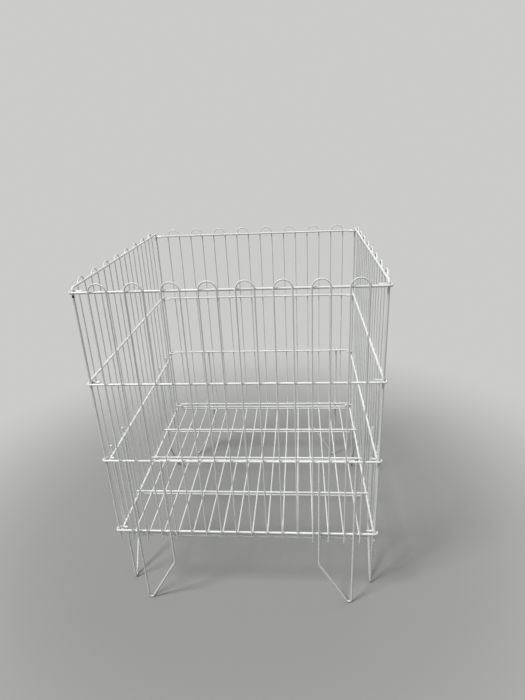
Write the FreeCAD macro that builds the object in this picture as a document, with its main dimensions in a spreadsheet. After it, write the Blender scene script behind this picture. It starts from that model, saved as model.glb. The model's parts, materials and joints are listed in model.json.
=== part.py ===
"""Folding retail dump bin made of welded and plastic-coated steel wire.

Four wire panels stand in a square and hang on each other at the corners. The left and
right panels carry the corner uprights; the front and back panels end in hooks that wrap
round those uprights, so each corner is a hinge. A loose wire shelf hangs by its upper
cross wires on the lowest rails of the side panels.

Millimetres. +Z is up, the front faces -Y, and the origin is on the floor under the
middle of the bin.
"""
import FreeCAD, Part
import math
import os

import Sketcher

DEGREES = 180 / math.pi

# The driving sizes, each one cell of the sheet "Sizes".
SIZES = [
    ("panel_span", 600, "corner upright to corner upright, axis to axis, both ways"),
    ("rail_wire", 5, "diameter of the front and back rails"),
    ("frame_wire", 5, "diameter of a side panel's rim and uprights"),
    ("side_rail_wire", 5, "diameter of a side panel's straight rails"),
    ("filler_wire", 3, "diameter of the hairpins that fill a panel"),
    ("foot_wire", 5, "diameter of a foot"),
    ("weld_sink", 0.1, "how far a weld presses one wire into the next"),
    ("rim_height", 794, "front and back rim rail, axis above the floor"),
    ("second_height", 597, "front and back second rail, axis above the floor"),
    ("third_height", 408, "front and back third rail, axis above the floor"),
    ("fourth_height", 210, "front and back lowest rail, axis above the floor"),
    ("side_rim_rise", 8.5, "side rim above the front rim"),
    ("side_second_rise", 6, "second side rail above its hooks"),
    ("side_third_drop", 14, "third side rail below its hooks"),
    ("side_fourth_drop", 14, "lowest side rail below its hooks"),
    ("rim_corner_radius", 9, "bend of the side rim into an upright, at the wire's axis"),
    ("upright_tail", 24, "upright's lower end below the lowest front rail"),
    ("hook_clearance", 0.6, "running gap between a hook and the upright in it"),
    ("hook_return", 17, "length of a hook's straight return"),
    ("corner_gap", 34.5, "upright axis to the first wire of a panel"),
    ("loop_rise", 17.5, "top of a hairpin's loop above the front rim, at the wire's axis"),
    ("stub_drop", 22.2, "outer hairpins' lower ends below the lowest front rail"),
    ("foot_rise", 4, "upper ends of a foot above the front and back third rails"),
    ("foot_spread", 3.8, "each leg of a foot beyond the middle of the hairpin that it stands in"),
    ("foot_knee", 125, "knee of a foot's inner leg above the floor"),
    ("foot_bend_radius", 6, "bend of a foot at the floor, at the wire's axis"),
    ("foot_knee_radius", 22, "bend of a foot at its knee, at the wire's axis"),
    ("shelf_cross_wire", 5, "diameter of the shelf's cross and edge wires"),
    ("shelf_long_wire", 3, "diameter of the shelf's long wires"),
    ("shelf_seat_gap", 0.3, "gap between the upper cross wires and the rails they lie on"),
    ("shelf_edge_gap", 0.6, "gap between the shelf's edges and the front and back rails"),
    ("shelf_overhang", 8, "upper cross wires' ends beyond the axis of the side rails"),
    ("shelf_end_gap", 11.5, "gap between the side rails and the ends of the shorter wires"),
    ("shelf_cross_pitch", 152, "shelf's cross wires apart"),
]

HAIRPINS = 8        # hairpins in a panel
LONG_HAIRPINS = 2   # hairpins at each end of a front or back panel that run below its rails
CROSS_WIRES = 3     # places along the shelf with an upper and a lower cross wire

# Lengths that follow from the sheet, written as expressions on its cells.
PITCH = f"((Sizes.panel_span - 2 * Sizes.corner_gap) / {2 * HAIRPINS - 1})"
HALF_SPAN = "(Sizes.panel_span / 2)"
HOOK_RADIUS = "((Sizes.frame_wire + Sizes.rail_wire) / 2 + Sizes.hook_clearance)"
SIDE_RIM = "(Sizes.rim_height + Sizes.side_rim_rise)"
SIDE_SECOND = "(Sizes.second_height + Sizes.side_second_rise)"
SIDE_THIRD = "(Sizes.third_height - Sizes.side_third_drop)"
SIDE_FOURTH = "(Sizes.fourth_height - Sizes.side_fourth_drop)"
UPRIGHT_BOTTOM = "(Sizes.fourth_height - Sizes.upright_tail)"
FOOT_TOP = "(Sizes.third_height + Sizes.foot_rise)"
FOOT_REACH = f"({PITCH} + Sizes.foot_spread)"
SHELF_UPPER_HEIGHT = (f"({SIDE_FOURTH} + (Sizes.side_rail_wire + Sizes.shelf_cross_wire) / 2"
                      " + Sizes.shelf_seat_gap)")
SHELF_WELD_STEP = "((Sizes.shelf_cross_wire + Sizes.shelf_long_wire) / 2 - Sizes.weld_sink)"
SHELF_LONG_HEIGHT = f"({SHELF_UPPER_HEIGHT} - {SHELF_WELD_STEP})"
SHELF_LOWER_HEIGHT = f"({SHELF_LONG_HEIGHT} - {SHELF_WELD_STEP})"
# The shelf's edges stop short of the inner faces of the front and back rails.
SHELF_HALF_DEPTH = f"({HALF_SPAN} + {HOOK_RADIUS} - Sizes.rail_wire / 2 - Sizes.shelf_edge_gap)"

# Each panel is drawn as the front one: u runs along it, "out" points away from the bin.
# The rest is a turn about +Z and the place of (u, out) on the floor.
PANELS = {
    "front": (0, "({u})", "-({out})"),
    "right": (90, "({out})", "({u})"),
    "back": (180, "-({u})", "({out})"),
    "left": (270, "-({out})", "-({u})"),
}
HOOKED_PANELS = ("front", "back")
FRAMED_PANELS = ("left", "right")

UP = FreeCAD.Vector(0, 0, 1)
ACROSS = FreeCAD.Rotation(FreeCAD.Vector(0, 1, 0), 90)   # stands a +Z cylinder along +X
ALONG = FreeCAD.Rotation(FreeCAD.Vector(1, 0, 0), -90)   # stands a +Z cylinder along +Y

doc = FreeCAD.newDocument("dump_bin")
sheet = doc.addObject("Spreadsheet::Sheet", "Sizes")
for row, (alias, number, meaning) in enumerate(SIZES, start=1):
    sheet.set(f"A{row}", meaning)
    sheet.set(f"B{row}", str(number))
    sheet.setAlias(f"B{row}", alias)
doc.recompute()

parts = []   # every sub-part, in the order it is written


def value(expression):
    """The number that an expression on the sheet gives now, to draw a sketch near its solution."""
    result = sheet.evalExpression(expression)
    return float(getattr(result, "Value", result))


def place(thing, spot, turn=FreeCAD.Rotation()):
    """Turn a piece, then bind its place to three expressions."""
    thing.Placement = FreeCAD.Placement(FreeCAD.Vector(), turn)
    for axis, expression in zip("xyz", spot):
        thing.setExpression(f"Placement.Base.{axis}", expression)


def panel_spot(panel, along, out, height):
    """The place of a point of a panel, as three expressions."""
    _, x, y = PANELS[panel]
    return x.format(u=along, out=out), y.format(u=along, out=out), height


def panel_turn(panel, flip=False):
    """A panel's turn about +Z; flip turns a piece end for end."""
    return FreeCAD.Rotation(UP, PANELS[panel][0] + (180 if flip else 0))


def sub_part(thing, label):
    thing.Label = label
    parts.append(thing)
    return thing


def rod(label, diameter, length, spot, turn):
    """A straight wire with cut ends."""
    wire = doc.addObject("Part::Cylinder", label)
    wire.setExpression("Radius", f"({diameter}) / 2")
    wire.setExpression("Height", length)
    place(wire, spot, turn)
    return wire


def new_sketch(body, name, role):
    """A sketch on one of the body's own origin planes."""
    sketch = body.newObject("Sketcher::SketchObject", name)
    plane = next(item for item in body.Origin.OriginFeatures if item.Role == role)
    sketch.AttachmentSupport = [(plane, "")]
    sketch.MapMode = "FlatFace"
    return sketch


def line(sketch, start, end):
    return sketch.addGeometry(Part.LineSegment(FreeCAD.Vector(*start, 0), FreeCAD.Vector(*end, 0)))


def arc(sketch, centre, radius, first, last):
    """An arc counterclockwise from the angle first to the angle last, in degrees."""
    circle = Part.Circle(FreeCAD.Vector(*centre, 0), UP, radius)
    return sketch.addGeometry(Part.ArcOfCircle(circle, first / DEGREES, last / DEGREES))


def constrain(sketch, kind, *where):
    return sketch.addConstraint(Sketcher.Constraint(kind, *where))


def bind(sketch, kind, where, expression):
    """A dimension that follows the sheet."""
    index = constrain(sketch, kind, *where, value(expression))
    sketch.setExpression(f"Constraints[{index}]", expression)


START, END, CENTRE = range(1, 4)     # the points of a line or an arc
X_AXIS, Y_AXIS = range(-1, -3, -1)   # the sketch's own axes
ORIGIN = (X_AXIS, START)             # the sketch's origin is where its X axis starts


def bent_wire(label, diameter, draw_path, path_plane, cut_plane, cut_spot, cut_offset="0"):
    """A wire of one diameter swept along the path that draw_path draws.

    cut_spot is the middle of the wire's first cut end on cut_plane, as two expressions,
    and cut_offset moves that plane along its normal.
    """
    body = doc.addObject("PartDesign::Body", label)
    path = new_sketch(body, f"{label}_path", path_plane)
    draw_path(path)
    cut = new_sketch(body, f"{label}_cut", cut_plane)
    cut.setExpression("AttachmentOffset.Base.z", cut_offset)
    centre = [value(expression) for expression in cut_spot]
    circle = cut.addGeometry(Part.Circle(FreeCAD.Vector(*centre, 0), UP, value(diameter) / 2))
    bind(cut, "Diameter", (circle,), diameter)
    for kind, axis, expression in zip(("DistanceX", "DistanceY"), (Y_AXIS, X_AXIS), cut_spot):
        if expression == "0":
            constrain(cut, "PointOnObject", circle, CENTRE, axis)
        else:
            bind(cut, kind, (*ORIGIN, circle, CENTRE), expression)
    pipe = body.newObject("PartDesign::AdditivePipe", f"{label}_pipe")
    pipe.Profile = cut
    pipe.Spine = path
    return sub_part(body, label)


def draw_hairpin(length):
    """Two upright legs joined by a half-round loop at the top; the legs end at height 0."""
    def draw(sketch):
        radius = value(PITCH) / 2
        shoulder = value(length) - radius
        left = line(sketch, (-radius, 0), (-radius, shoulder))
        loop = arc(sketch, (0, shoulder), radius, 0, 180)
        right = line(sketch, (radius, shoulder), (radius, 0))
        constrain(sketch, "Tangent", left, END, loop, END)
        constrain(sketch, "Tangent", loop, START, right, START)
        constrain(sketch, "Vertical", left)
        constrain(sketch, "Vertical", right)
        constrain(sketch, "PointOnObject", left, START, X_AXIS)
        constrain(sketch, "PointOnObject", right, END, X_AXIS)
        constrain(sketch, "PointOnObject", loop, CENTRE, Y_AXIS)
        bind(sketch, "Radius", (loop,), f"{PITCH} / 2")
        bind(sketch, "DistanceY", (left, START, left, END), f"{length} - {PITCH} / 2")
    return draw


def draw_hooked_rail(sketch):
    """A straight run outside the uprights, and at each end a hook round one upright."""
    half, radius = value(HALF_SPAN), value(HOOK_RADIUS)
    tip = half - value("Sizes.hook_return")
    left_return = line(sketch, (-tip, radius), (-half, radius))
    left_hook = arc(sketch, (-half, 0), radius, 90, 270)
    run = line(sketch, (-half, -radius), (half, -radius))
    right_hook = arc(sketch, (half, 0), radius, -90, 90)
    right_return = line(sketch, (half, radius), (tip, radius))
    constrain(sketch, "Tangent", left_return, END, left_hook, START)
    constrain(sketch, "Tangent", left_hook, END, run, START)
    constrain(sketch, "Tangent", run, END, right_hook, START)
    constrain(sketch, "Tangent", right_hook, END, right_return, START)
    for straight in (left_return, run, right_return):
        constrain(sketch, "Horizontal", straight)
    constrain(sketch, "PointOnObject", left_hook, CENTRE, X_AXIS)
    constrain(sketch, "PointOnObject", right_hook, CENTRE, X_AXIS)
    bind(sketch, "DistanceX", (left_hook, CENTRE, *ORIGIN), HALF_SPAN)
    bind(sketch, "DistanceX", (*ORIGIN, right_hook, CENTRE), HALF_SPAN)
    bind(sketch, "Radius", (left_hook,), HOOK_RADIUS)
    bind(sketch, "DistanceX", (left_return, END, left_return, START), "Sizes.hook_return")
    bind(sketch, "DistanceX", (right_return, END, right_return, START), "Sizes.hook_return")


def draw_side_frame(sketch):
    """Two uprights and the rim between them, from one wire; the uprights end at height 0."""
    half, radius = value(HALF_SPAN), value("Sizes.rim_corner_radius")
    rise = f"{SIDE_RIM} - {UPRIGHT_BOTTOM}"
    top = value(rise)
    left = line(sketch, (-half, 0), (-half, top - radius))
    left_bend = arc(sketch, (radius - half, top - radius), radius, 90, 180)
    rim = line(sketch, (radius - half, top), (half - radius, top))
    right_bend = arc(sketch, (half - radius, top - radius), radius, 0, 90)
    right = line(sketch, (half, top - radius), (half, 0))
    constrain(sketch, "Tangent", left, END, left_bend, END)
    constrain(sketch, "Tangent", left_bend, START, rim, START)
    constrain(sketch, "Tangent", rim, END, right_bend, END)
    constrain(sketch, "Tangent", right_bend, START, right, START)
    constrain(sketch, "Vertical", left)
    constrain(sketch, "Horizontal", rim)
    constrain(sketch, "Vertical", right)
    constrain(sketch, "PointOnObject", left, START, X_AXIS)
    constrain(sketch, "PointOnObject", right, END, X_AXIS)
    constrain(sketch, "Equal", left_bend, right_bend)
    bind(sketch, "DistanceX", (left, START, *ORIGIN), HALF_SPAN)
    bind(sketch, "DistanceX", (*ORIGIN, right, END), HALF_SPAN)
    bind(sketch, "DistanceY", (*ORIGIN, rim, START), rise)
    bind(sketch, "Radius", (left_bend,), "Sizes.rim_corner_radius")


def draw_foot(sketch):
    """A V of wire: the outer leg drops to the floor, turns there, and climbs to the knee.

    Height 0 is the upper ends of the legs. The middle of a foot is halfway between the two
    outermost hairpins, and each of them has a leg a little off its own middle.
    """
    floor_radius, knee_radius = "Sizes.foot_bend_radius", "Sizes.foot_knee_radius"
    floor_depth = f"{FOOT_TOP} - Sizes.foot_wire / 2 - {floor_radius}"
    knee_depth = f"{FOOT_TOP} - Sizes.foot_knee"
    reach = value(FOOT_REACH)
    low = (value(floor_radius) - reach, -value(floor_depth))
    knee = (reach - value(knee_radius), -value(knee_depth))
    across, climb = knee[0] - low[0], knee[1] - low[1]
    bulge = math.asin((value(knee_radius) - value(floor_radius)) / math.hypot(across, climb))
    slope = (math.atan2(climb, across) - bulge) * DEGREES
    ray = FreeCAD.Vector(math.sin(slope / DEGREES), -math.cos(slope / DEGREES))
    slant_start = (low[0] + value(floor_radius) * ray.x, low[1] + value(floor_radius) * ray.y)
    slant_end = (knee[0] + value(knee_radius) * ray.x, knee[1] + value(knee_radius) * ray.y)

    outer = line(sketch, (-reach, 0), (-reach, low[1]))
    floor_bend = arc(sketch, low, value(floor_radius), 180, 270 + slope)
    slant = line(sketch, slant_start, slant_end)
    knee_bend = arc(sketch, knee, value(knee_radius), slope - 90, 0)
    inner = line(sketch, (reach, knee[1]), (reach, 0))
    constrain(sketch, "Tangent", outer, END, floor_bend, START)
    constrain(sketch, "Tangent", floor_bend, END, slant, START)
    constrain(sketch, "Tangent", slant, END, knee_bend, START)
    constrain(sketch, "Tangent", knee_bend, END, inner, START)
    constrain(sketch, "Vertical", outer)
    constrain(sketch, "Vertical", inner)
    constrain(sketch, "PointOnObject", outer, START, X_AXIS)
    constrain(sketch, "PointOnObject", inner, END, X_AXIS)
    bind(sketch, "DistanceX", (outer, START, *ORIGIN), FOOT_REACH)
    bind(sketch, "DistanceX", (*ORIGIN, inner, END), FOOT_REACH)
    bind(sketch, "Radius", (floor_bend,), floor_radius)
    bind(sketch, "Radius", (knee_bend,), knee_radius)
    bind(sketch, "DistanceY", (floor_bend, CENTRE, *ORIGIN), floor_depth)
    bind(sketch, "DistanceY", (knee_bend, CENTRE, *ORIGIN), knee_depth)


def add_hooked_rails(panel):
    """The four rails of a front or back panel."""
    for name, height in (("rim_rail", "Sizes.rim_height"), ("second_rail", "Sizes.second_height"),
                         ("third_rail", "Sizes.third_height"), ("lowest_rail", "Sizes.fourth_height")):
        rail = bent_wire(f"{panel}_{name}", "Sizes.rail_wire", draw_hooked_rail, "XY_Plane", "YZ_Plane",
                         (HOOK_RADIUS, "0"), f"Sizes.hook_return - {HALF_SPAN}")
        place(rail, panel_spot(panel, "0", HALF_SPAN, height), panel_turn(panel))


def add_side_frame(panel):
    """A side panel's rim with its two uprights, and the straight rails between them."""
    frame = bent_wire(f"{panel}_frame", "Sizes.frame_wire", draw_side_frame, "XZ_Plane", "XY_Plane",
                      (f"-{HALF_SPAN}", "0"))
    place(frame, panel_spot(panel, "0", HALF_SPAN, UPRIGHT_BOTTOM), panel_turn(panel))
    reach = f"({HALF_SPAN} - Sizes.frame_wire / 2 + Sizes.weld_sink)"
    for name, height in (("second_rail", SIDE_SECOND), ("third_rail", SIDE_THIRD),
                         ("lowest_rail", SIDE_FOURTH)):
        rail = rod(f"{panel}_{name}", "Sizes.side_rail_wire", f"2 * {reach}",
                   panel_spot(panel, f"-{reach}", HALF_SPAN, height), panel_turn(panel) * ACROSS)
        sub_part(rail, rail.Label)


def add_hairpins(panel, out, long_end, short_end):
    """A panel's hairpins, welded outside its rails; only the outer ones reach long_end."""
    for number in range(1, HAIRPINS + 1):
        outer = number <= LONG_HAIRPINS or number > HAIRPINS - LONG_HAIRPINS
        bottom = long_end if outer else short_end
        length = f"(Sizes.rim_height + Sizes.loop_rise - {bottom})"
        hairpin = bent_wire(f"{panel}_hairpin_{number}", "Sizes.filler_wire", draw_hairpin(length),
                            "XZ_Plane", "XY_Plane", (f"-{PITCH} / 2", "0"))
        along = f"{2 * number - HAIRPINS - 1} * {PITCH}"
        place(hairpin, panel_spot(panel, along, out, bottom), panel_turn(panel))


def add_feet(panel, out):
    """The two feet of a panel, with their outer legs towards the corners."""
    between_legs = f"{HAIRPINS - 2} * {PITCH}"
    for side, along, flip in (("left", f"-{between_legs}", False), ("right", between_legs, True)):
        foot = bent_wire(f"{panel}_{side}_foot", "Sizes.foot_wire", draw_foot, "XZ_Plane", "XY_Plane",
                         (f"-{FOOT_REACH}", "0"))
        place(foot, panel_spot(panel, along, out, FOOT_TOP), panel_turn(panel, flip))


def shelf_rod(label, reach, depth, height):
    """A heavy wire of the shelf, from side to side."""
    return rod(label, "Sizes.shelf_cross_wire", f"2 * {reach}", (f"-{reach}", depth, height), ACROSS)


def add_shelf():
    """The loose shelf: long wires from front to back, welded between pairs of heavy wires.

    The upper cross wires reach over the side rails and carry the shelf. The lower cross
    wires and the pairs along the front and back edges fit between the side panels.
    """
    def join(label, wires):
        group = doc.addObject("Part::Compound", label)
        group.Links = wires
        sub_part(group, label)

    long_wires = []
    for number in range(1, 2 * HAIRPINS + 1):
        along = f"{2 * number - 2 * HAIRPINS - 1} * {PITCH} / 2"
        long_wires.append(rod(f"long_wire_{number}", "Sizes.shelf_long_wire", f"2 * {SHELF_HALF_DEPTH}",
                              (along, f"-{SHELF_HALF_DEPTH}", SHELF_LONG_HEIGHT), ALONG))
    join("shelf_long_wires", long_wires)

    carrying_reach = f"({HALF_SPAN} + Sizes.shelf_overhang)"
    inner_reach = f"({HALF_SPAN} - Sizes.side_rail_wire / 2 - Sizes.shelf_end_gap)"
    for level, reach, height in (("upper", carrying_reach, SHELF_UPPER_HEIGHT),
                                 ("lower", inner_reach, SHELF_LOWER_HEIGHT)):
        cross_wires = []
        for number in range(1, CROSS_WIRES + 1):
            depth = f"{2 * number - CROSS_WIRES - 1} * Sizes.shelf_cross_pitch / 2"
            cross_wires.append(shelf_rod(f"{level}_cross_wire_{number}", reach, depth, height))
        join(f"shelf_{level}_cross_wires", cross_wires)

    edge_depth = f"({SHELF_HALF_DEPTH} - Sizes.shelf_cross_wire / 2)"
    edge_wires = []
    for edge, depth in (("front", f"-{edge_depth}"), ("back", edge_depth)):
        for level, height in (("upper", SHELF_UPPER_HEIGHT), ("lower", SHELF_LOWER_HEIGHT)):
            edge_wires.append(shelf_rod(f"{edge}_{level}_edge_wire", inner_reach, depth, height))
    join("shelf_edge_wires", edge_wires)


def build():
    for panel in HOOKED_PANELS:
        rails_out = f"({HALF_SPAN} + {HOOK_RADIUS})"
        add_hooked_rails(panel)
        add_hairpins(panel, f"{rails_out} + (Sizes.rail_wire + Sizes.filler_wire) / 2 - Sizes.weld_sink",
                     "(Sizes.fourth_height - Sizes.stub_drop)",
                     "(Sizes.fourth_height - Sizes.rail_wire / 2)")
        add_feet(panel, f"{rails_out} + (Sizes.rail_wire + Sizes.foot_wire) / 2 - Sizes.weld_sink")
    for panel in FRAMED_PANELS:
        side_end = f"({SIDE_FOURTH} - Sizes.side_rail_wire / 2)"
        add_side_frame(panel)
        add_hairpins(panel, f"{HALF_SPAN} + (Sizes.frame_wire + Sizes.filler_wire) / 2 - Sizes.weld_sink",
                     side_end, side_end)
        add_feet(panel, f"{HALF_SPAN} + (Sizes.side_rail_wire + Sizes.foot_wire) / 2 - Sizes.weld_sink")
    add_shelf()
    doc.recompute()


def check_and_write():
    for thing in doc.Objects:
        if "Invalid" in thing.State or "Error" in thing.State:
            raise RuntimeError(f"{thing.Label} is {thing.State}")
    for part in parts:
        if part.Shape.isNull() or not part.Shape.isValid() or not part.Shape.Solids:
            raise RuntimeError(f"{part.Label} has no valid solid")
    os.makedirs("parts", exist_ok=True)
    for part in parts:
        part.Shape.exportStep(f"parts/{part.Label}.step")
    whole = Part.makeCompound([part.Shape for part in parts]).optimalBoundingBox()
    print(f"{len(parts)} parts, {whole.XLength:.1f} x {whole.YLength:.1f} x {whole.ZLength:.1f} mm,"
          f" floor at {whole.ZMin:.2f}")


build()
check_and_write()
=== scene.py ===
# %% [markdown]
# # A folding wire dump bin
#
# The real thing stands in a shop and holds loose goods. Four panels of welded steel wire
# make a square, hooked together at the corners, and a loose wire shelf lies inside. All of
# it is dipped in white plastic, which is what the eye sees: a satin white skin with soft
# highlights, grey where it was rubbed through, a little dust on top.
#
# The bent and welded wires come ready made in the frame, at their real size and place.
# Blender adds what a drawing of the wires leaves out: the coat, the weld beads under it,
# the rounded blobs on the cut ends, and the light.

import json
import math
import random

import bmesh
import bpy
from mathutils import Matrix, Vector


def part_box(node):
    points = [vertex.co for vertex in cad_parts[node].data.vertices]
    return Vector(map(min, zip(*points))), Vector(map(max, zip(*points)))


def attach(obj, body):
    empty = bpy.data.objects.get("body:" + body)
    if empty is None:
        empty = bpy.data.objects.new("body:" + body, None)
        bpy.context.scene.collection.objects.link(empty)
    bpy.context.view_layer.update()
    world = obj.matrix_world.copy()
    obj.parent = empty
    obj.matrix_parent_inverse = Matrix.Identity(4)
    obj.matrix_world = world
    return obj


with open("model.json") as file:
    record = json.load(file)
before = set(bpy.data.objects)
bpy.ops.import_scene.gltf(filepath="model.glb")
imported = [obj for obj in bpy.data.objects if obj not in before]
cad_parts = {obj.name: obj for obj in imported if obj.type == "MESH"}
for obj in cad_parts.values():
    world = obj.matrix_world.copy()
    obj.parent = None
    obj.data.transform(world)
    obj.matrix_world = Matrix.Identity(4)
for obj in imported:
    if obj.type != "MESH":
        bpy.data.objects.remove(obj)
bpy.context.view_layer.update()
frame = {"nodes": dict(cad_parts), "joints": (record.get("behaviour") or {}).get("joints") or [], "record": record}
nodes = frame["nodes"]
MM = 0.001

# %% [markdown]
# ## The camera
#
# The viewer stands in front of the bin, a little to the right of its middle, and holds the
# camera at about a metre above the floor, tipped down. The lens is a wide one, so the far
# side of the bin looks much smaller than the near side. A camera can be aimed by a Track To
# constraint, but that keeps it level, and a camera held by hand is rolled a little. So three
# turns set its aim, and the last one written is the first one made: the roll in its own
# plane, then up from straight down, then round the upright axis.

# %% Set up the camera
CAMERA_SPOT = (0.1394, -1.1827, 1.0406)
TIPPED_DOWN = math.radians(22.8)
ROLL = math.radians(-2.71)
TURN = math.radians(5.0)
LENS_MM = 25.12

camera = bpy.data.objects.new("camera", bpy.data.cameras.new("camera"))
bpy.context.scene.collection.objects.link(camera)
camera.data.lens = LENS_MM
camera.matrix_world = (
    Matrix.Translation(CAMERA_SPOT)
    @ Matrix.Rotation(TURN, 4, "Z")
    @ Matrix.Rotation(math.pi / 2 - TIPPED_DOWN, 4, "X")
    @ Matrix.Rotation(ROLL, 4, "Z")
)
bpy.context.scene.camera = camera
print("camera at", CAMERA_SPOT, "with a", LENS_MM, "mm lens")

# %% [markdown]
# ## Sums on sockets
#
# A procedural finish is arithmetic: a mask times a noise, one minus a mask, a colour mixed
# by a mask. Written node by node it takes pages. Here a small class wraps one output
# socket, and Python's own operators add the Math nodes, so a finish reads as a formula.
# Everything that isn't arithmetic comes from one method, `node`, which first sets what the
# node is to do and then fills in or links its sockets.

# %% Make the socket class
MIX_FACTOR, MIX_A, MIX_B, MIX_COLOUR = 0, 6, 7, 2   # the colour sockets of a Mix node


class Signal:
    """An output socket of a material. Arithmetic on it adds the nodes that work it out."""

    def __init__(self, tree, socket=None):
        self.tree = tree
        self.socket = socket

    def node(self, kind, settings=None, sockets=None, out=0):
        """Any node: its settings come first, then the values or signals of its sockets."""
        made = self.tree.nodes.new(kind)
        for name, setting in (settings or {}).items():
            setattr(made, name, setting)
        fill(made, sockets or {})
        return Signal(self.tree, made.outputs[out]) if len(made.outputs) else made

    def arithmetic(self, operation, *terms):
        """A Math node on any terms. The operators below are its short forms."""
        return self.node("ShaderNodeMath", {"operation": operation}, dict(enumerate(terms)))

    def vector(self, operation, *terms, out=0):
        sockets = dict(enumerate(terms))
        return self.node("ShaderNodeVectorMath", {"operation": operation}, sockets, out)

    def part(self, axis):
        """The X, Y or Z of a vector."""
        return self.node("ShaderNodeSeparateXYZ", sockets={"Vector": self}, out=axis)

    def __add__(self, other):
        return self.arithmetic("ADD", self, other)

    def __sub__(self, other):
        return self.arithmetic("SUBTRACT", self, other)

    def __rsub__(self, other):
        return self.arithmetic("SUBTRACT", other, self)

    def __mul__(self, other):
        return self.arithmetic("MULTIPLY", self, other)

    def __abs__(self):
        return self.arithmetic("ABSOLUTE", self)

    __radd__, __rmul__ = __add__, __mul__

    def capped(self):
        """The signal, or 1 where it is more."""
        return self.arithmetic("MINIMUM", self, 1.0)

    def ramp(self, low, high):
        """0 where the signal is low or less, 1 where it is high or more, smooth between."""
        return self.node("ShaderNodeMapRange", {"interpolation_type": "SMOOTHSTEP"},
                         {"Value": self, "From Min": low, "From Max": high})

    def blend(self, first, second):
        """The first colour where this mask is 0, the second where it is 1."""
        return self.node("ShaderNodeMix", {"data_type": "RGBA"},
                         {MIX_FACTOR: self, MIX_A: first, MIX_B: second}, MIX_COLOUR)


print("sockets can be added, subtracted, multiplied, capped, ramped and blended")


# %% Fill the sockets of a node
def fill(node, sockets):
    """Put values into a node's sockets, and link the ones that are given as signals."""
    for name, given in sockets.items():
        if isinstance(given, Signal):
            given.tree.links.new(given.socket, node.inputs[name])
        else:
            node.inputs[name].default_value = given


print("sockets can be filled with values or linked to signals")

# %% [markdown]
# ## The floor
#
# A white wire needs something to stand out from, so the floor under the bin is a pale grey
# a step darker than the wires. Further out it turns into the paler background, so no edge
# shows, and the rims stand against that. A curved backdrop hides its edge too, but it takes
# light away from behind the bin. A flat disc that fades into a glow doesn't.
#
# A dark shop floor sends little light back up. The floor therefore has one more grey, a
# darker one, that only light on its way to the wires meets, while the camera and a
# reflection see the pale one. Each grey has its own shader, and masks mix the shaders.

# %% Mix the floor and the background
BACKGROUND_GREY = (0.60, 0.60, 0.59, 1)
FLOOR_GREY = (0.28, 0.28, 0.27, 1)
BOUNCE_GREY = (0.11, 0.11, 0.108, 1)
FADE_FROM, FADE_TO = 0.5, 1.35     # metres from the middle of the bin


def looked_at(start):
    """1 for a ray from the camera, or one that a mirror or a glass sends on."""
    kinds = [start.node("ShaderNodeLightPath", out=name)
             for name in ("Is Camera Ray", "Is Glossy Ray", "Is Transmission Ray")]
    return sum(kinds).capped()


def floor_finish():
    """A matt grey that turns into the background's own glow far from the bin."""
    material = bpy.data.materials.new("floor")
    material.use_nodes = True
    tree = material.node_tree
    tree.nodes.clear()
    start = Signal(tree)
    spot = start.node("ShaderNodeTexCoord", out="Object")
    far = spot.vector("LENGTH", spot, out="Value").ramp(FADE_FROM, FADE_TO)
    dark = start.node("ShaderNodeBsdfDiffuse", sockets={"Color": BOUNCE_GREY})
    pale = start.node("ShaderNodeBsdfDiffuse", sockets={"Color": FLOOR_GREY})
    glow = start.node("ShaderNodeEmission", sockets={"Color": BACKGROUND_GREY})
    seen = start.node("ShaderNodeMixShader", sockets={0: far, 1: pale, 2: glow})
    whole = start.node("ShaderNodeMixShader", sockets={0: looked_at(start), 1: dark, 2: seen})
    start.node("ShaderNodeOutputMaterial", sockets={"Surface": whole})
    return material


print("the floor fades from", FADE_FROM, "to", FADE_TO, "m")

# %% Lay the floor
FLOOR_RADIUS = 6.0
FLOOR_CORNERS = 96

floor_mesh = bpy.data.meshes.new("floor")
disc = bmesh.new()
bmesh.ops.create_circle(disc, cap_ends=True, segments=FLOOR_CORNERS, radius=FLOOR_RADIUS)
disc.to_mesh(floor_mesh)
disc.free()
floor_mesh.materials.append(floor_finish())
floor = bpy.data.objects.new("floor", floor_mesh)
bpy.context.scene.collection.objects.link(floor)
print("floor of", 2 * FLOOR_RADIUS, "m across")

# %% [markdown]
# ## The light
#
# Thin white wire is drawn by its own shading, so the light must not come evenly from all
# round. A pale ceiling whitens the top of every rail, darker walls leave the uprights a
# little greyer, and a lamp at the upper left gives each wire one bright side and one dark
# one. A broad, weak lamp behind keeps the far side from going flat. An environment image
# could light the bin as well, but two greys and two lamps are easier to balance.

# %% Light it from all sides and from above
CEILING = (0.68, 0.69, 0.70, 1)
WALLS = (0.18, 0.18, 0.18, 1)
WALLS_TO, CEILING_FROM = 0.35, 0.65      # how steeply a ray climbs, as the Z of its direction
LAMPS = {    # where each one stands, how strong it is, and how many degrees wide
    "key_lamp": (Vector((-0.6, -0.45, 1.2)), 2.3, 12),
    "fill_lamp": (Vector((0.7, 0.8, 1.0)), 0.4, 60),
}

world = bpy.data.worlds.new("room")
bpy.context.scene.world = world
world.use_nodes = True
ray = Signal(world.node_tree).node("ShaderNodeTexCoord", out="Generated")
room = ray.part("Z").ramp(WALLS_TO, CEILING_FROM).blend(WALLS, CEILING)
fill(world.node_tree.nodes["Background"], {"Color": looked_at(ray).blend(room, BACKGROUND_GREY)})

for name, (place, strength, width) in LAMPS.items():
    lamp = bpy.data.objects.new(name, bpy.data.lights.new(name, "SUN"))
    lamp.data.energy = strength
    lamp.data.angle = math.radians(width)
    lamp.rotation_mode = "QUATERNION"
    lamp.rotation_quaternion = place.to_track_quat("Z", "Y")
    bpy.context.scene.collection.objects.link(lamp)
bpy.context.scene.view_settings.view_transform = "Standard"
print("lit by", *LAMPS)

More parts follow.
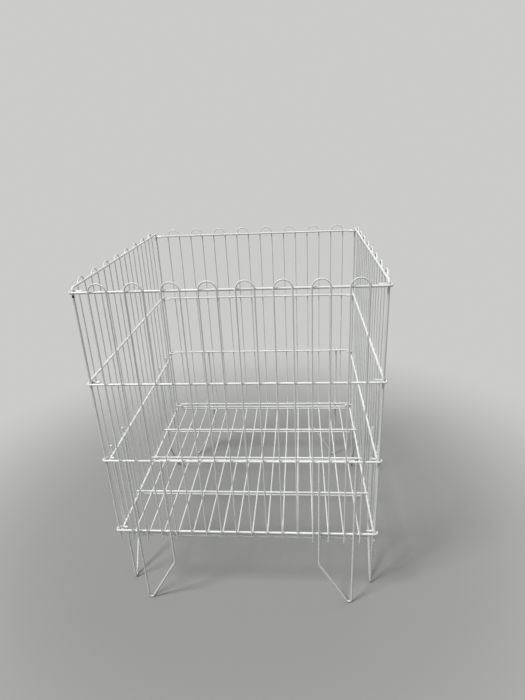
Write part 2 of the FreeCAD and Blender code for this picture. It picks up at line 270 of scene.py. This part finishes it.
# %% [markdown]
# ## The white coat
#
# The wires are degreased, heated and dipped in plastic powder, which melts into a skin a
# third of a millimetre thick. It isn't perfectly even: the skin has a fine orange peel, a
# slow change of tone, and a film of dust on what faces up. Where metal rubs on metal it
# wears through to grey steel. The skin could be a second tube round each wire, but its
# thickness can't be seen, only its colour, its gloss and its faint bumps, and those are a
# material's work.
#
# All four kinds of wire share this skin and differ only in where they are stained and where
# they are bare, so those two come in as masks. A third mask, on one kind of wire only, turns
# a small spot of the skin near black.

# %% Make masks from noise, place and height
PATCH_OCTAVES = 4.0
PATCH_START, PATCH_RANGE, PATCH_SOFTNESS = 0.72, 0.4, 0.04     # of the noise


def noise(spot, per_metre, octaves):
    return spot.node("ShaderNodeTexNoise", sockets={
        "Vector": spot, "Scale": per_metre, "Detail": octaves}, out="Fac")


def facing_up(spot):
    return spot.node("ShaderNodeNewGeometry", out="Normal").part("Z")


def patches(spot, per_metre, share):
    """Ragged spots that cover more of the surface as share goes from 0 to 1."""
    start = PATCH_START - PATCH_RANGE * share
    return noise(spot, per_metre, PATCH_OCTAVES).ramp(start, start + PATCH_SOFTNESS)


def near_heights(spot, heights, core, reach):
    """1 within core of each of the heights, and 0 further than reach above and below them."""
    height = spot.part("Z")
    return sum(1 - abs(height - level).ramp(core, reach) for level in heights)


def near_corners(spot, corner, core, reach):
    """1 within core of the four upright lines through (+-x, +-y) of a corner, 0 beyond reach."""
    mirrored = spot.vector("ABSOLUTE", spot)
    aside = spot.vector("MULTIPLY", spot.vector("SUBTRACT", mirrored, corner), (1, 1, 0))
    return 1 - spot.vector("LENGTH", aside, out="Value").ramp(core, reach)


print("masks for patches, heights and corners")

# %% Make the coat
COAT_WHITE = (0.865, 0.88, 0.87, 1)
COAT_SHADED = (0.78, 0.795, 0.77, 1)
DUST = (0.60, 0.58, 0.54, 1)
STAIN = (0.47, 0.44, 0.39, 1)
STEEL = (0.30, 0.29, 0.28, 1)
# near black: the colour of a small spot on one upright, just under the rim's hook
SPOT_BLACK = (0.012, 0.011, 0.010, 1)

# How fine each noise is, to a metre, and how many octaves it has.
TONE_NOISE, DUST_NOISE, PEEL_NOISE = (11, 3.0), (70, 4.0), (900, 2.0)
TONE_TURNS = (0.35, 0.7)       # of the noise, from the one white to the other
DUST_GATHERS = (0.42, 0.72)    # of the noise, from clean to dusty
FACES_UP = (0.35, 0.95)        # of the Z of the surface's normal
DUST_AMOUNT = 0.15
PEEL_DEPTH, PEEL_STRENGTH = 0.2 * MM, 0.3
COAT_ROUGHNESS, ROUGHER_BY_DUST, ROUGHER_BY_STAIN = 0.30, 0.4, 0.25
COAT_IOR = 1.5


def coat(name, masks, spotted=None):
    """The white skin of one kind of wire.

    masks turns a place into two masks, what is stained and what is bare. The third argument,
    where there is one, turns it into a third, where the skin is near black.
    """
    material = bpy.data.materials.new(name)
    material.use_nodes = True
    tree = material.node_tree
    spot = Signal(tree).node("ShaderNodeTexCoord", out="Object")
    stained, bare = masks(spot)
    settled = noise(spot, *DUST_NOISE).ramp(*DUST_GATHERS)
    dusty = facing_up(spot).ramp(*FACES_UP) * settled * DUST_AMOUNT
    white = noise(spot, *TONE_NOISE).ramp(*TONE_TURNS).blend(COAT_WHITE, COAT_SHADED)
    skin = stained.blend(dusty.blend(white, DUST), STAIN)
    # a small near-black spot, on one kind of wire only
    if spotted:
        skin = spotted(spot).blend(skin, SPOT_BLACK)
    peel = spot.node("ShaderNodeBump", sockets={
        "Strength": PEEL_STRENGTH, "Distance": PEEL_DEPTH,
        "Height": noise(spot, *PEEL_NOISE) - bare})
    fill(tree.nodes["Principled BSDF"], {
        "Base Color": bare.blend(skin, STEEL),
        "Roughness": COAT_ROUGHNESS + ROUGHER_BY_DUST * dusty + ROUGHER_BY_STAIN * stained,
        "Metallic": bare,
        "Normal": peel,
        "IOR": COAT_IOR,
    })
    return material


print("one coat, to be varied by its masks")

# %% [markdown]
# ## Where the coat is worn
#
# The frame wires rub where a hook turns round an upright, so they have thin grey bands at
# the hooks, and just under one hook the upright carries a small near-black spot. The thin
# hairpins are touched least. The feet are dragged over the floor and kicked. The shelf
# carries the goods, and its tops are rubbed.
#
# Wear could be painted by hand on unwrapped wires. Masks that are worked out from a place,
# a height or a slope need no unwrapping, and move with the hooks when the frame's sizes
# change. Each stain or bare place is a set of ragged patches, given by how fine they are, to
# a metre, and by how much they cover. Rare chips are two sets at once: the coarse one says
# where a chip may be, the fine one gives it its edge.

# %% Find the hooks
RAILS = ("rim_rail", "second_rail", "third_rail", "lowest_rail")


def height_of(node):
    low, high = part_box(node)
    return (low.z + high.z) / 2


hook_heights = [height_of(f"front_{rail}") for rail in RAILS]
left_joint = next(joint for joint in frame["joints"] if joint["name"] == "left_hinge")
upright_spot = Vector(abs(number) for number in left_joint["pos_m"])
print("hooks at", [round(height, 3) for height in hook_heights], "m")

# %% Rub the frame wires at the hooks
ROUND_UPRIGHT = (6 * MM, 12 * MM)      # where the wear fades, out from the upright
AT_HOOK = (2.1 * MM, 7 * MM)           # and up and down from the hook
HOOK_STAINS, HOOK_STAINED = (260, 0.5), 0.45     # the patches, and how strongly they stain
HOOK_BARES = (420, 0.35)
FRAME_CHIPS, CHIP_EDGES = (90, 0.0), (500, 0.3)


def frame_masks(spot):
    at_hooks = (near_corners(spot, upright_spot, *ROUND_UPRIGHT)
                * near_heights(spot, hook_heights, *AT_HOOK))
    stained = at_hooks * patches(spot, *HOOK_STAINS) * HOOK_STAINED
    chips = patches(spot, *FRAME_CHIPS) * patches(spot, *CHIP_EDGES)
    return stained, (at_hooks * patches(spot, *HOOK_BARES) + chips).capped()


print("rubbed at", len(hook_heights), "hooks up each upright")

# %% Blacken a spot on one upright
SPOT_FADES = (2.9 * MM, 4.2 * MM)    # out from the middle of the black spot
SPOT_DEPTH = 8.5 * MM                # of that middle, below the axis of the rim's hook
spot_middle = Vector((-upright_spot.x, -upright_spot.y, hook_heights[0] - SPOT_DEPTH))


# 1 at a small spot on the front left upright, just under the rim's hook, where the skin turns near black
def frame_black_spot(spot):
    return 1 - spot.vector("DISTANCE", spot, spot_middle, out="Value").ramp(*SPOT_FADES)


print("scorched at", [round(number, 3) for number in spot_middle])

# %% Chip the hairpins
FILLER_STAINS, FILLER_STAINED = (38, 0.05), 0.2
FILLER_CHIPS = (70, 0.0)


def filler_masks(spot):
    stained = patches(spot, *FILLER_STAINS) * FILLER_STAINED
    return stained, patches(spot, *FILLER_CHIPS) * patches(spot, *CHIP_EDGES)


print("a few small chips on the hairpins")

# %% Dirty the feet
DIRTY_FOOT = (2 * MM, 26 * MM)         # where the dirt fades, above the floor
BARE_FOOT = (1 * MM, 5 * MM)           # where the bare steel does
LEAST_DIRT = 0.25
FOOT_STAINS, FOOT_STAINED = (170, 0.6), 0.7
FOOT_BARES = (330, 0.7)


def foot_masks(spot):
    height = spot.part("Z")
    dirty = (1 - height.ramp(*DIRTY_FOOT) + LEAST_DIRT).capped()
    stained = dirty * patches(spot, *FOOT_STAINS) * FOOT_STAINED
    return stained, (1 - height.ramp(*BARE_FOOT)) * patches(spot, *FOOT_BARES)


print("dirt thins out up to", DIRTY_FOOT[1], "m, bare steel up to", BARE_FOOT[1], "m")

# %% Rub the tops of the shelf
RUBBED_TOP = (0.6, 1.0)                # of the Z of the surface's normal
SHELF_STAINS, SHELF_STAINED = (45, 0.35), 0.35
SHELF_BARES, SHELF_BARE_EDGES = (120, 0.1), (600, 0.4)


def shelf_masks(spot):
    rubbed = facing_up(spot).ramp(*RUBBED_TOP)
    stained = rubbed * patches(spot, *SHELF_STAINS) * SHELF_STAINED
    return stained, rubbed * patches(spot, *SHELF_BARES) * patches(spot, *SHELF_BARE_EDGES)


print("rubbed where a wire of the shelf faces up")

# %% Put the finishes on
finishes = {
    "frame_wire_coat": coat("frame_wire_coat_finish", frame_masks, frame_black_spot),
    "filler_wire_coat": coat("filler_wire_coat_finish", filler_masks),
    "foot_wire_coat": coat("foot_wire_coat_finish", foot_masks),
    "shelf_wire_coat": coat("shelf_wire_coat_finish", shelf_masks),
}
slot_of = {name: node.material_slots[0].material.name for name, node in nodes.items()}
for name, node in nodes.items():
    node.material_slots[0].material = finishes[slot_of[name]]
print(len(finishes), "finishes on", len(nodes), "wire groups")

# %% [markdown]
# ## Finding the cut ends
#
# A wire is cut to length before it is bent, and the dip rounds every cut: the melted skin
# pulls itself into a small dome. In the frame each cut is a flat disc that shares no
# corner with the tube it closes. So the loose pieces of a mesh are walked through one by
# one, and each piece whose corners all lie in one plane is a cut end. Its middle, its way
# out and its radius are all that a dome needs. A list of ends written by hand would be
# shorter to make and wrong as soon as a wire moves.

# %% Walk through the loose pieces
def loose_pieces(mesh):
    """Each connected piece of a mesh, as a list of its corners."""
    shape = bmesh.new()
    shape.from_mesh(mesh)
    unseen = set(shape.verts)
    while unseen:
        piece, edge_of_walk = [], [unseen.pop()]
        while edge_of_walk:
            corner = edge_of_walk.pop()
            piece.append(corner)
            nearby = {edge.other_vert(corner) for edge in corner.link_edges} & unseen
            unseen -= nearby
            edge_of_walk.extend(nearby)
        yield piece
    shape.free()


print(len(list(loose_pieces(nodes["front_rim_rail"].data))), "loose pieces make a rail")

# %% Find the cut ends
FLAT = 0.01 * MM
SORTED_PLACES = 5      # decimals of a metre that decide the order of the ends


def cut_ends(node):
    """The (middle, way out, radius) of each flat end in one wire group, in a fixed order."""
    found = []
    for piece in loose_pieces(nodes[node].data):
        middle = sum((corner.co for corner in piece), Vector()) / len(piece)
        way_out = piece[0].link_faces[0].normal.copy()
        if all(abs((corner.co - middle).dot(way_out)) < FLAT for corner in piece):
            radius = max((corner.co - middle).length for corner in piece)
            found.append((middle, way_out, radius))
    return sorted(found, key=lambda end: tuple(round(x, SORTED_PLACES) for x in end[0]))


ends = {name: cut_ends(name) for name in nodes}
print(sum(map(len, ends.values())), "cut ends")

# %% [markdown]
# ## Closed lumps from rings
#
# A dome on a cut end and a bead at a weld are both a stack of rings with the two end rings
# closed by a fan of triangles. A squeezed sphere would pass for either from afar, but rings
# can follow the wire that they lie on. One helper makes a lump from a list of rings, and
# another gathers all the lumps of one kind on one body into a single piece that rides on it.

# %% Make a lump from rings
ROUND = 14     # corners of a ring


def ring(middle, first, second, first_size, second_size, lift=None):
    """An oval ring of points; lift moves each one by what it gives for the point's angle."""
    points = []
    for turn in (2 * math.pi * step / ROUND for step in range(ROUND)):
        point = (middle + first * first_size * math.cos(turn)
                 + second * second_size * math.sin(turn))
        points.append(point + lift(turn) if lift else point)
    return points


def add_lump(shape, rings):
    """Skin a stack of rings, and close both ends."""
    loops = [[shape.verts.new(point) for point in points] for points in rings]
    for near, far in zip(loops, loops[1:]):
        for step in range(ROUND):
            shape.faces.new((near[step - 1], near[step], far[step], far[step - 1]))
    for loop, points in ((loops[0][::-1], rings[0]), (loops[-1], rings[-1])):
        tip = shape.verts.new(sum(points, Vector()) / ROUND)
        for step in range(ROUND):
            shape.faces.new((loop[step - 1], loop[step], tip))


def across(way):
    """Two ways square to a given one and to each other."""
    first = way.orthogonal().normalized()
    return first, way.cross(first)


print("lumps have", ROUND, "corners round")


# %% Gather lumps into one piece
def new_piece(name, stacks, body, slot):
    """One smooth mesh of many lumps, which rides on a body."""
    shape = bmesh.new()
    for rings in stacks:
        add_lump(shape, rings)
    bmesh.ops.recalc_face_normals(shape, faces=shape.faces)
    mesh = bpy.data.meshes.new(name)
    shape.to_mesh(mesh)
    shape.free()
    mesh.shade_smooth()
    mesh.materials.append(finishes[slot])
    piece = bpy.data.objects.new(name, mesh)
    bpy.context.scene.collection.objects.link(piece)
    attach(piece, body)


print("pieces are smooth, closed and ride on a body")

# %% [markdown]
# ## Domes on the cut ends
#
# The skin bulges a little past the wire just before its end. Where a wire points down the
# skin sets as a short drip, longer on some wires than on others. A bevel would round the
# wire's own edge, but the frame's meshes stay as they are, and a bevel makes no bulge. The
# straight rails of the side panels end inside the uprights they are welded to, so those
# ends get no dome.

# %% Make a dome
# Each ring's place past the cut and its size, as shares of the wire's radius.
DOME_PROFILE = ((-0.9, 0.96), (-0.45, 1.04), (-0.05, 1.07), (0.22, 0.93), (0.36, 0.62))
LEAST_DRIP, MOST_DRIP = 0.3, 1.3       # how much longer a dome that hangs straight down is
chance = random.Random(11)     # the same seed gives the same domes and beads each time


def dome(end):
    """Rings from inside the skin of a wire to its rounded tip."""
    middle, way_out, radius = end
    hanging = max(0.0, -way_out.z) * chance.uniform(LEAST_DRIP, MOST_DRIP)
    rings = []
    for along, width in DOME_PROFILE:
        reach = along * (1 + hanging) if along > 0 else along
        rings.append(ring(middle + way_out * reach * radius, *across(way_out),
                          width * radius, width * radius))
    return rings


print("a dome is", len(DOME_PROFILE), "rings high")

# %% Dome the open ends
WELDED_RAILS = RAILS[1:]     # a side panel's rim is bent in one with its uprights


def is_buried(node):
    return node.startswith(("left_", "right_")) and node.endswith(WELDED_RAILS)


dome_count = 0
for body, members in frame["record"]["behaviour"]["bodies"].items():
    for slot in finishes:
        open_ends = [end for node in members if slot_of[node] == slot and not is_buried(node)
                     for end in ends[node]]
        if open_ends:
            kind = slot.replace("_wire_coat", "")
            new_piece(f"{body}_{kind}_end_domes", [dome(end) for end in open_ends], body, slot)
            dome_count += len(open_ends)
print(dome_count, "domes")

# %% [markdown]
# ## Beads where wires cross
#
# Crossing wires are pressed together between two copper blocks and a current melts them
# into each other. The skin then fills the narrow gap round the joint, as solder does. A
# Boolean union with a bevel along its seam could draw that, but it changes the wires and
# fails where tubes barely touch. A bead is a saddle instead: its lower ring lies on the
# thick wire, its upper ring on the thin one, and the rings between are drawn in, so that
# the fillet is hollow.

# %% Make a crossing bead
BEAD_RINGS = 4
LOW_RING = (1.35, 0.76)      # half sizes: along the thick wire as a share of the thin radius,
HIGH_RING = (0.85, 0.96)     # and along the thin wire as a share of the thick radius
WAIST = 0.12                 # how far the fillet is drawn in, as a share of its size
BEAD_SPREAD = 0.12           # how much one bead's size differs from another's


def crossing_bead(middle, thick_way, thin_way, toward, thick, thin, apart):
    """A saddle round a weld.

    middle is on the axis of the thick wire, toward points from there to the thin wire,
    thick and thin are radii, and apart is how far the two axes lie from each other.
    """
    size = 1 + chance.uniform(-BEAD_SPREAD, BEAD_SPREAD)
    low_sizes, high_sizes = ((along_thick * thin * size, along_thin * thick * size)
                             for along_thick, along_thin in (LOW_RING, HIGH_RING))
    stack = []
    for step in range(BEAD_RINGS):
        share = step / (BEAD_RINGS - 1)
        waist = 1 - WAIST * math.sin(math.pi * share)
        sizes = [waist * (low + (high - low) * share) for low, high in zip(low_sizes, high_sizes)]

        def lift(turn):
            on_thick = math.sqrt(thick ** 2 - (low_sizes[1] * math.sin(turn)) ** 2)
            on_thin = apart - math.sqrt(thin ** 2 - (high_sizes[0] * math.cos(turn)) ** 2)
            return toward * (on_thick + (on_thin - on_thick) * share)

        stack.append(ring(middle, thick_way, thin_way, *sizes, lift))
    return stack


print("a bead is", BEAD_RINGS, "rings high")

# %% [markdown]
# ## Where the panels are welded
#
# Every hairpin and foot of a panel lies flat against the outside of its rails, with both
# legs welded to each rail that they pass. The box round a bent wire gives its two legs and
# the box round a rail gives its height, so no weld has to be placed by hand.

# %% Measure along a panel's own ways
UP = Vector((0, 0, 1))
PANELS = {   # the way out of each panel, and the way along it
    "front": (Vector((0, -1, 0)), Vector((1, 0, 0))),
    "right": (Vector((1, 0, 0)), Vector((0, 1, 0))),
    "back": (Vector((0, 1, 0)), Vector((-1, 0, 0))),
    "left": (Vector((-1, 0, 0)), Vector((0, -1, 0))),
}


def spans(node, ways):
    """The lowest and highest reach of a wire group along each of several ways."""
    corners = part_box(node)
    return [sorted(corner.dot(way) for corner in corners) for way in ways]


print(len(PANELS), "panels, each with a way out and a way along")


# %% Find a panel's crossings
def panel_beads(panel):
    """A crossing bead for each leg of each hairpin and foot on each rail of a panel."""
    out, along = PANELS[panel]
    mine = [name for name in nodes if name.startswith(f"{panel}_")]
    rails = [name for name in mine if name.endswith(("rail", "frame"))]
    legs = [name for name in mine if "hairpin" in name or name.endswith("foot")]
    for rail in rails:
        (rail_in, rail_out), (rail_low, rail_top) = spans(rail, (out, UP))
        # Hooks make a rail's box deeper and uprights make it taller: the rest is the wire's width.
        thick = min(rail_out - rail_in, rail_top - rail_low) / 2
        height = rail_top - thick
        for leg in legs:
            (leg_in, leg_out), (first, last), (low, top) = spans(leg, (out, along, UP))
            thin = (leg_out - leg_in) / 2
            if not low < height < top:
                continue
            apart = (leg_in + thin) - (rail_out - thick)
            half, rise = (last - first) / 2 - thin, 0.0
            if "hairpin" in leg:     # its loop is a half circle, which closes in above the legs
                rise = max(0.0, height - (top - thin - half))
            reach = math.sqrt(half ** 2 - rise ** 2)
            for side in (-1, 1):
                aside = (first + last) / 2 + side * reach
                middle = out * (rail_out - thick) + along * aside + UP * height
                leg_way = (UP * reach - along * side * rise) / half
                yield crossing_bead(middle, along, leg_way, out, thick, thin, apart)


print("welds are found where legs pass rails")

# %% Bead the panels
for panel in PANELS:
    beads = list(panel_beads(panel))
    new_piece(f"{panel}_panel_weld_beads", beads, f"{panel}_panel", "filler_wire_coat")
    print(len(beads), "beads on the", panel, "panel")

# %% [markdown]
# ## Where the side rails meet the uprights
#
# The lower three rails of a side panel stop dead against its two uprights, so the weld
# there runs right round the rail's end. A torus would leave a groove beside the upright. A
# short collar of rings that starts inside the upright doesn't, and it is widest just
# outside.

# %% Put a collar on each side rail's ends
# Each ring's place past the upright's axis and its size, as shares of the rail's radius.
COLLAR_PROFILE = ((0.2, 0.9), (0.75, 1.22), (1.15, 1.25), (1.5, 1.1), (1.9, 0.97))


def collar(middle, way, radius):
    """Rings along a rail. middle is where its axis meets the axis of the upright."""
    return [ring(middle + way * along * radius, *across(way), width * radius, width * radius)
            for along, width in COLLAR_PROFILE]


def panel_collars(panel):
    _, along = PANELS[panel]
    first, last = spans(f"{panel}_frame", [along])[0]
    for rail in WELDED_RAILS:
        low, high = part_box(f"{panel}_{rail}")
        radius = (high.z - low.z) / 2
        middle = (low + high) / 2
        yield collar(middle + along * (first + radius), along, radius)
        yield collar(middle + along * (last - radius), -along, radius)


for panel in ("left", "right"):
    name, body = f"{panel}_panel_rail_collars", f"{panel}_panel"
    new_piece(name, panel_collars(panel), body, "frame_wire_coat")
print("collars on both side panels")

# %% [markdown]
# ## Where the shelf is welded
#
# The shelf is sixteen long wires between cross wires above and below. Its wires come in
# four groups, so a box round a group tells nothing of one wire. But all of them are
# straight, so one cut end of each is enough: it tells where the wire lies and how thick it
# is. Every long wire is welded to every cross wire and edge wire that it meets.

# %% Find the shelf's wires
SHELF_ALONG, SHELF_ACROSS = Vector((0, 1, 0)), Vector((1, 0, 0))


def straight_wires(node, way):
    """The (start, radius) of each straight wire that runs along a way."""
    return [(middle, radius) for middle, way_out, radius in ends[node] if way_out.dot(way) < 0]


long_wires = straight_wires("shelf_long_wires", SHELF_ALONG)
print(len(long_wires), "long wires")

# %% Bead the shelf's crossings
CROSSING_GROUPS = ("shelf_upper_cross_wires", "shelf_lower_cross_wires", "shelf_edge_wires")


def shelf_beads():
    for group in CROSSING_GROUPS:
        for start, thick in straight_wires(group, SHELF_ACROSS):
            for spot, thin in long_wires:
                toward = UP if spot.z > start.z else -UP
                middle = Vector((spot.x, start.y, start.z))
                yield crossing_bead(middle, SHELF_ACROSS, SHELF_ALONG, toward, thick, thin,
                                    abs(spot.z - start.z))


beads = list(shelf_beads())
new_piece("shelf_weld_beads", beads, "shelf", "shelf_wire_coat")
print(len(beads), "beads on the shelf")
